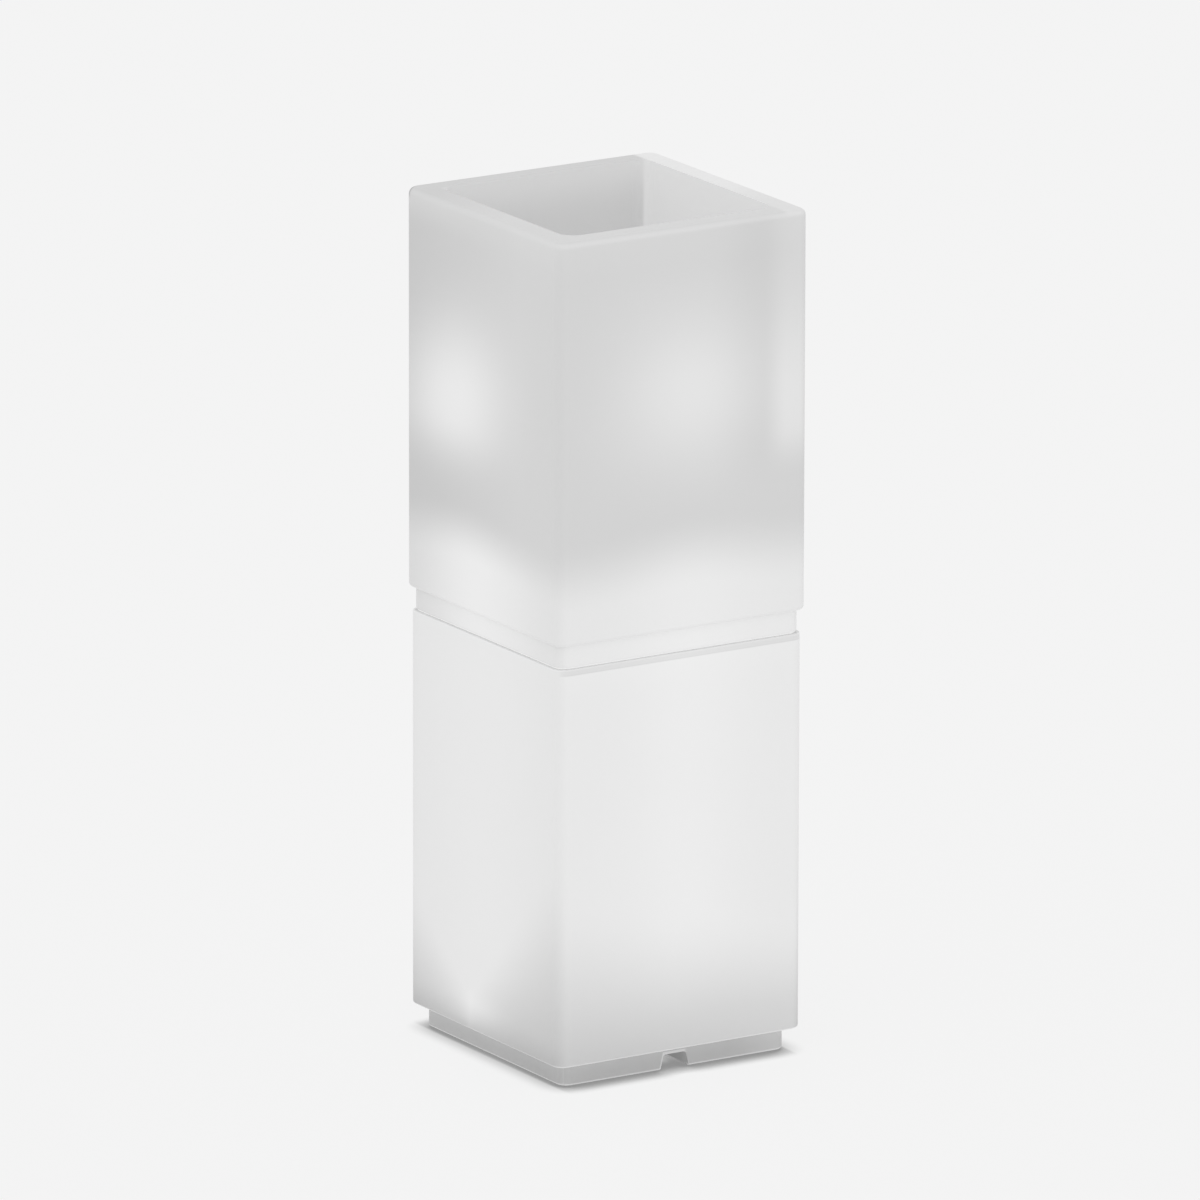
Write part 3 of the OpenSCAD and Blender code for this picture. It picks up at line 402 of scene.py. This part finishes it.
def shell_surface(name):
    """Satin translucent polyethylene, lit from inside by painted glow, with painted shade taken from its
    grey where the glow falls below zero and at the rim's back edge.
    """
    back_edge_shade_level = 0.26
    surface = Surface(name)
    x, y, z = surface.xyz()
    nx, ny, nz = surface.xyz("Normal")
    facing_up = nz.positive()
    above_floor = z.rise(POT_FLOOR - 0.004, POT_FLOOR)
    inward = (x * nx + y * ny).fall(-0.010, 0.0) * above_floor
    in_pot = inward.math("MAXIMUM", facing_up * above_floor * z.fall(0.60, 0.62))
    on_rim = z.rise(RIM_LOW, RIM_LOW + 0.0025) * in_pot.rest()
    glow = wall_glow(x, y, z, nx, ny) * in_pot.rest() + in_pot * pot_inside_glow(nx, ny, nz, z)
    glow = glow + on_rim * rim_glow(x, y, ny, facing_up) + edge_glow(z, nz)
    surface.glow(glow.positive())
    # Painted shade: where the photograph is darker than the unlit plastic, the plastic's own grey gives
    # way by what the glow falls short of zero
    painted_shade = glow.math("MINIMUM", 0.0)
    # Painted shade: a thin darker line on the rounded outer edge at the back of the rim
    painted_back_edge_shade = z.rise(RIM_LOW, RIM_LOW + 0.005) * y.rise(0.118, 0.124) * ny.bell(0.22, 0.09)
    cloud = surface.noise(9, detail=4.0) * SHELL_CLOUD
    grey = cloud + painted_shade - painted_back_edge_shade * back_edge_shade_level + (SHELL_GREY - SHELL_CLOUD / 2)
    surface.colour(grey)
    grain = surface.noise(900, detail=2.0)
    ripple = surface.noise(38, detail=2.0)
    surface.roughness(grain * 0.10 + 0.42)
    surface.bump(grain * 0.25 + ripple * 0.75, 0.00025, 0.35)
    surface.set(IOR=1.5, Specular_IOR_Level=0.35)
    return surface.material


def plinth_surface(name):
    """Grey moulded plastic with painted light on its lit edges, towards its top and its right end, the
    light that leaks to the inside of the skirt, and painted shade on its ends towards the front.
    """
    inside_level = 0.09
    inside_beside = 0.07
    notch_level = 0.14
    notch_right_drop = 0.12
    line_level = 0.13
    below_level = 0.16
    top_level = 0.045
    right_level = 0.07
    end_shade_level = 0.035
    surface = Surface(name)
    x, y, z = surface.xyz()
    nx, ny, nz = surface.xyz("Normal")
    reach = x.size().math("MAXIMUM", y.size())
    within = reach.fall(SKIRT_HALF, SKIRT_HALF + 0.002) * z.fall(PLINTH_TOP - 0.003, PLINTH_TOP)
    inside = within * (x.size().rise(0.017, 0.020) * inside_beside + inside_level)
    to_notch = x.size() - (z * -NOTCH_SLOPE + NOTCH_FOOT_HALF)
    beside_notch = to_notch.fall(0.0008, 0.0018) * z.fall(NOTCH_TOP + 0.0018, NOTCH_TOP + 0.0028)
    along_notch = x.rise(0.010, 0.013) * -notch_right_drop + notch_level
    notch_edge = beside_notch * (ny * -1.0).rise(0.7, 0.9) * along_notch
    bottom_edge = z.fall(0.0028, 0.0042) * line_level + (nz * -1.0).positive() * below_level
    under_column = z.rise(0.008, PLINTH_TOP) * top_level
    right_end = x.rise(0.05, 0.12) * ny.squared() * right_level
    surface.glow(inside + within.rest() * (notch_edge + bottom_edge + under_column + right_end))
    # Painted shade: the plinth's ends darker towards the front
    near_corner = y.fall(-0.12, 0.06) * nx.squared() * end_shade_level
    drift = surface.noise(24) * 0.05 + 0.975
    surface.colour(drift * PLINTH_GREY - near_corner)
    grain = surface.noise(1500)
    surface.roughness(grain * 0.16 + 0.42)
    surface.bump(grain, 0.0001, 0.5)
    return surface.material


def seal_surface(name):
    """Pale rubber, lit through from the shells that it touches."""
    base_level = 0.05
    seam_level = 0.42
    surface = Surface(name)
    z = surface.xyz()[2]
    surface.glow(z.rise(SEAM - 0.02, SEAM - 0.01) * seam_level + base_level)
    drift = surface.noise(30) * 0.06 + 0.97
    surface.colour(drift * SEAL_GREY)
    grain = surface.noise(1400)
    surface.roughness(grain * 0.16 + 0.54)
    surface.bump(grain, 0.0001, 0.5)
    return surface.material


def plain_surface(name, colour, rough, grain_size, grain_height, vary=0.06, metal=0.0, stretch=(1, 1, 1)):
    """Moulded, painted, drawn or cast finish: a tint that drifts a little, with a fine grain."""
    surface = Surface(name)
    drift = surface.noise(24) * vary + (1.0 - vary / 2)
    surface.colour(drift, colour)
    grain = surface.noise(1.0 / grain_size, stretch=stretch)
    surface.roughness(grain * 0.16 + (rough - 0.08))
    surface.bump(grain, grain_height, 0.5)
    surface.set(Metallic=metal)
    return surface.material


def lamp_surface(name):
    """Coated glass tube that glows along its length and less at its ends."""
    glow_level = 0.35
    glass_grey = 0.62
    surface = Surface(name)
    z = surface.xyz()[2]
    low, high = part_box("lamp_tubes")
    lit = z.rise(low.z, low.z + 0.05) * z.fall(high.z - 0.012, high.z + 0.004)
    mottle = surface.noise(120, detail=2.0) * 0.04 + 0.96
    surface.glow(lit * mottle * glow_level)
    surface.colour(mottle * glass_grey, (1.0, 1.0, 0.98))
    surface.roughness(mottle * 0.1 + 0.1)
    surface.set(IOR=1.5)
    return surface.material


def make_materials():
    """The finishes by the names of their slots."""
    makers = {
        "shell_plastic": shell_surface,
        "plinth_plastic": plinth_surface,
        "seal_rubber": seal_surface,
        "lamp_glass": lamp_surface,
    }
    materials = {name: make(name) for name, make in makers.items()}
    for name, (*values, unusual) in PLAIN_FINISHES.items():
        materials[name] = plain_surface(name, *values, **unusual)
    return materials


def dress(materials):
    """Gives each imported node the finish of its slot."""
    slots = {row["node"]: row["material_slot"] for row in frame["record"]["subparts"]}
    for name, node in frame["nodes"].items():
        node.data.materials.clear()
        node.data.materials.append(materials[slots[name]])


def make_camera():
    azimuth = math.radians(CAMERA_AZIMUTH)
    elevation = math.radians(CAMERA_ELEVATION)
    back = Vector((
        math.sin(azimuth) * math.cos(elevation),
        -math.cos(azimuth) * math.cos(elevation),
        math.sin(elevation),
    ))
    right = Vector((math.cos(azimuth), math.sin(azimuth), 0.0))
    up = back.cross(right)
    roll = Matrix.Rotation(math.radians(CAMERA_ROLL), 3, back)
    right, up = roll @ right, roll @ up
    aim = Vector((0.0, 0.0, AIM_HEIGHT)) + right * AIM_SIDE
    data = bpy.data.cameras.new("camera")
    data.sensor_width = SENSOR_MM
    data.lens = CAMERA_FOCAL_PX * SENSOR_MM / FRAME_PX
    data.clip_start = CAMERA_NEAR
    data.clip_end = 4 * FLOOR_HALVES[-1]
    camera = bpy.data.objects.new("camera", data)
    bpy.context.scene.collection.objects.link(camera)
    turn = Matrix((right, up, back)).transposed().to_4x4()
    camera.matrix_world = Matrix.Translation(aim + back * CAMERA_DISTANCE) @ turn
    bpy.context.scene.camera = camera


def make_light():
    world = bpy.data.worlds.new("sky")
    world.use_nodes = True
    sky = world.node_tree.nodes["Background"]
    sky.inputs["Color"].default_value = (SKY_GREY, SKY_GREY, SKY_GREY, 1.0)
    sky.inputs["Strength"].default_value = SKY_LEVEL
    bpy.context.scene.world = world
    sun = bpy.data.lights.new("sun", "SUN")
    sun.energy = SUN_LEVEL
    sun.angle = math.radians(SUN_ANGLE)
    lamp = bpy.data.objects.new("sun", sun)
    lamp.rotation_euler = (math.radians(SUN_TILT), 0.0, math.radians(SUN_TURN))
    bpy.context.scene.collection.objects.link(lamp)


def mix_shaders(tree, first, second):
    """A mix of two shader sockets; its share is set or linked by the caller."""
    node = tree.nodes.new("ShaderNodeMixShader")
    tree.links.new(first, node.inputs[1])
    tree.links.new(second, node.inputs[2])
    return node


def floor_level(surface):
    """The floor's level to the eye: white, but for the shade close to the object and the dark under it."""
    tree = surface.tree
    shade = tree.nodes.new("ShaderNodeAmbientOcclusion")
    shade.samples = SHADE_SAMPLES
    shade.inputs["Distance"].default_value = SHADE_REACH
    x, y = surface.xyz()[:2]
    beside = x.size().rise(PLINTH_HALF, PLINTH_HALF + BESIDE_WIDTH)
    power = (beside * -BESIDE_DROP + 1.0) * SHADE_POWER
    open_share = Field(tree, shade.outputs["AO"]).math("POWER", power)
    reach = x.size().math("MAXIMUM", y.size())
    under = reach.fall(PLINTH_HALF - 0.001, PLINTH_HALF + 0.005) * UNDER_LEVEL
    return (open_share * FLOOR_SEEN).math("MAXIMUM", under)


def floor_surface(name):
    """Even and white to the eye, and a plain diffuse floor to every other ray."""
    surface = Surface(name)
    tree = surface.tree
    surface.set(Roughness=1.0, Specular_IOR_Level=0.0)
    speck = surface.noise(FLOOR_SPECK_SCALE, detail=2.0) * FLOOR_SPECK
    surface.colour(speck + (FLOOR_GREY - FLOOR_SPECK / 2))
    diffuse = surface.shader.outputs[0]
    glow = tree.nodes.new("ShaderNodeEmission")
    tree.links.new(surface.grey(floor_level(surface)), glow.inputs["Color"])
    seen = mix_shaders(tree, diffuse, glow.outputs[0])
    seen.inputs["Fac"].default_value = SEEN_SHARE
    path = tree.nodes.new("ShaderNodeLightPath")
    eye = Field(tree, path.outputs["Is Camera Ray"])
    for kind in ("Is Glossy Ray", "Is Transmission Ray"):
        eye = eye.math("MAXIMUM", Field(tree, path.outputs[kind]))
    both = mix_shaders(tree, diffuse, seen.outputs[0])
    tree.links.new(eye.socket, both.inputs["Fac"])
    tree.links.new(both.outputs[0], tree.nodes["Material Output"].inputs["Surface"])
    return surface.material


def make_floor():
    """A square in the middle with wider rings around it, so that no long triangle shows an edge."""
    mesh = bpy.data.meshes.new("floor")
    turns = [(-1, -1), (1, -1), (1, 1), (-1, 1)]
    corners = [(half * x, half * y, 0) for half in FLOOR_HALVES for x, y in turns]
    faces = [(0, 1, 2, 3)]
    for ring in range(len(FLOOR_HALVES) - 1):
        inner = 4 * ring
        outer = inner + 4
        for k in range(4):
            after = (k + 1) % 4
            faces.append((outer + k, outer + after, inner + after, inner + k))
    mesh.from_pydata(corners, [], faces)
    mesh.materials.append(floor_surface("floor"))
    floor = bpy.data.objects.new("floor", mesh)
    bpy.context.scene.collection.objects.link(floor)


bpy.context.scene.view_settings.view_transform = "Standard"
make_camera()
make_light()
make_floor()
dress(make_materials())
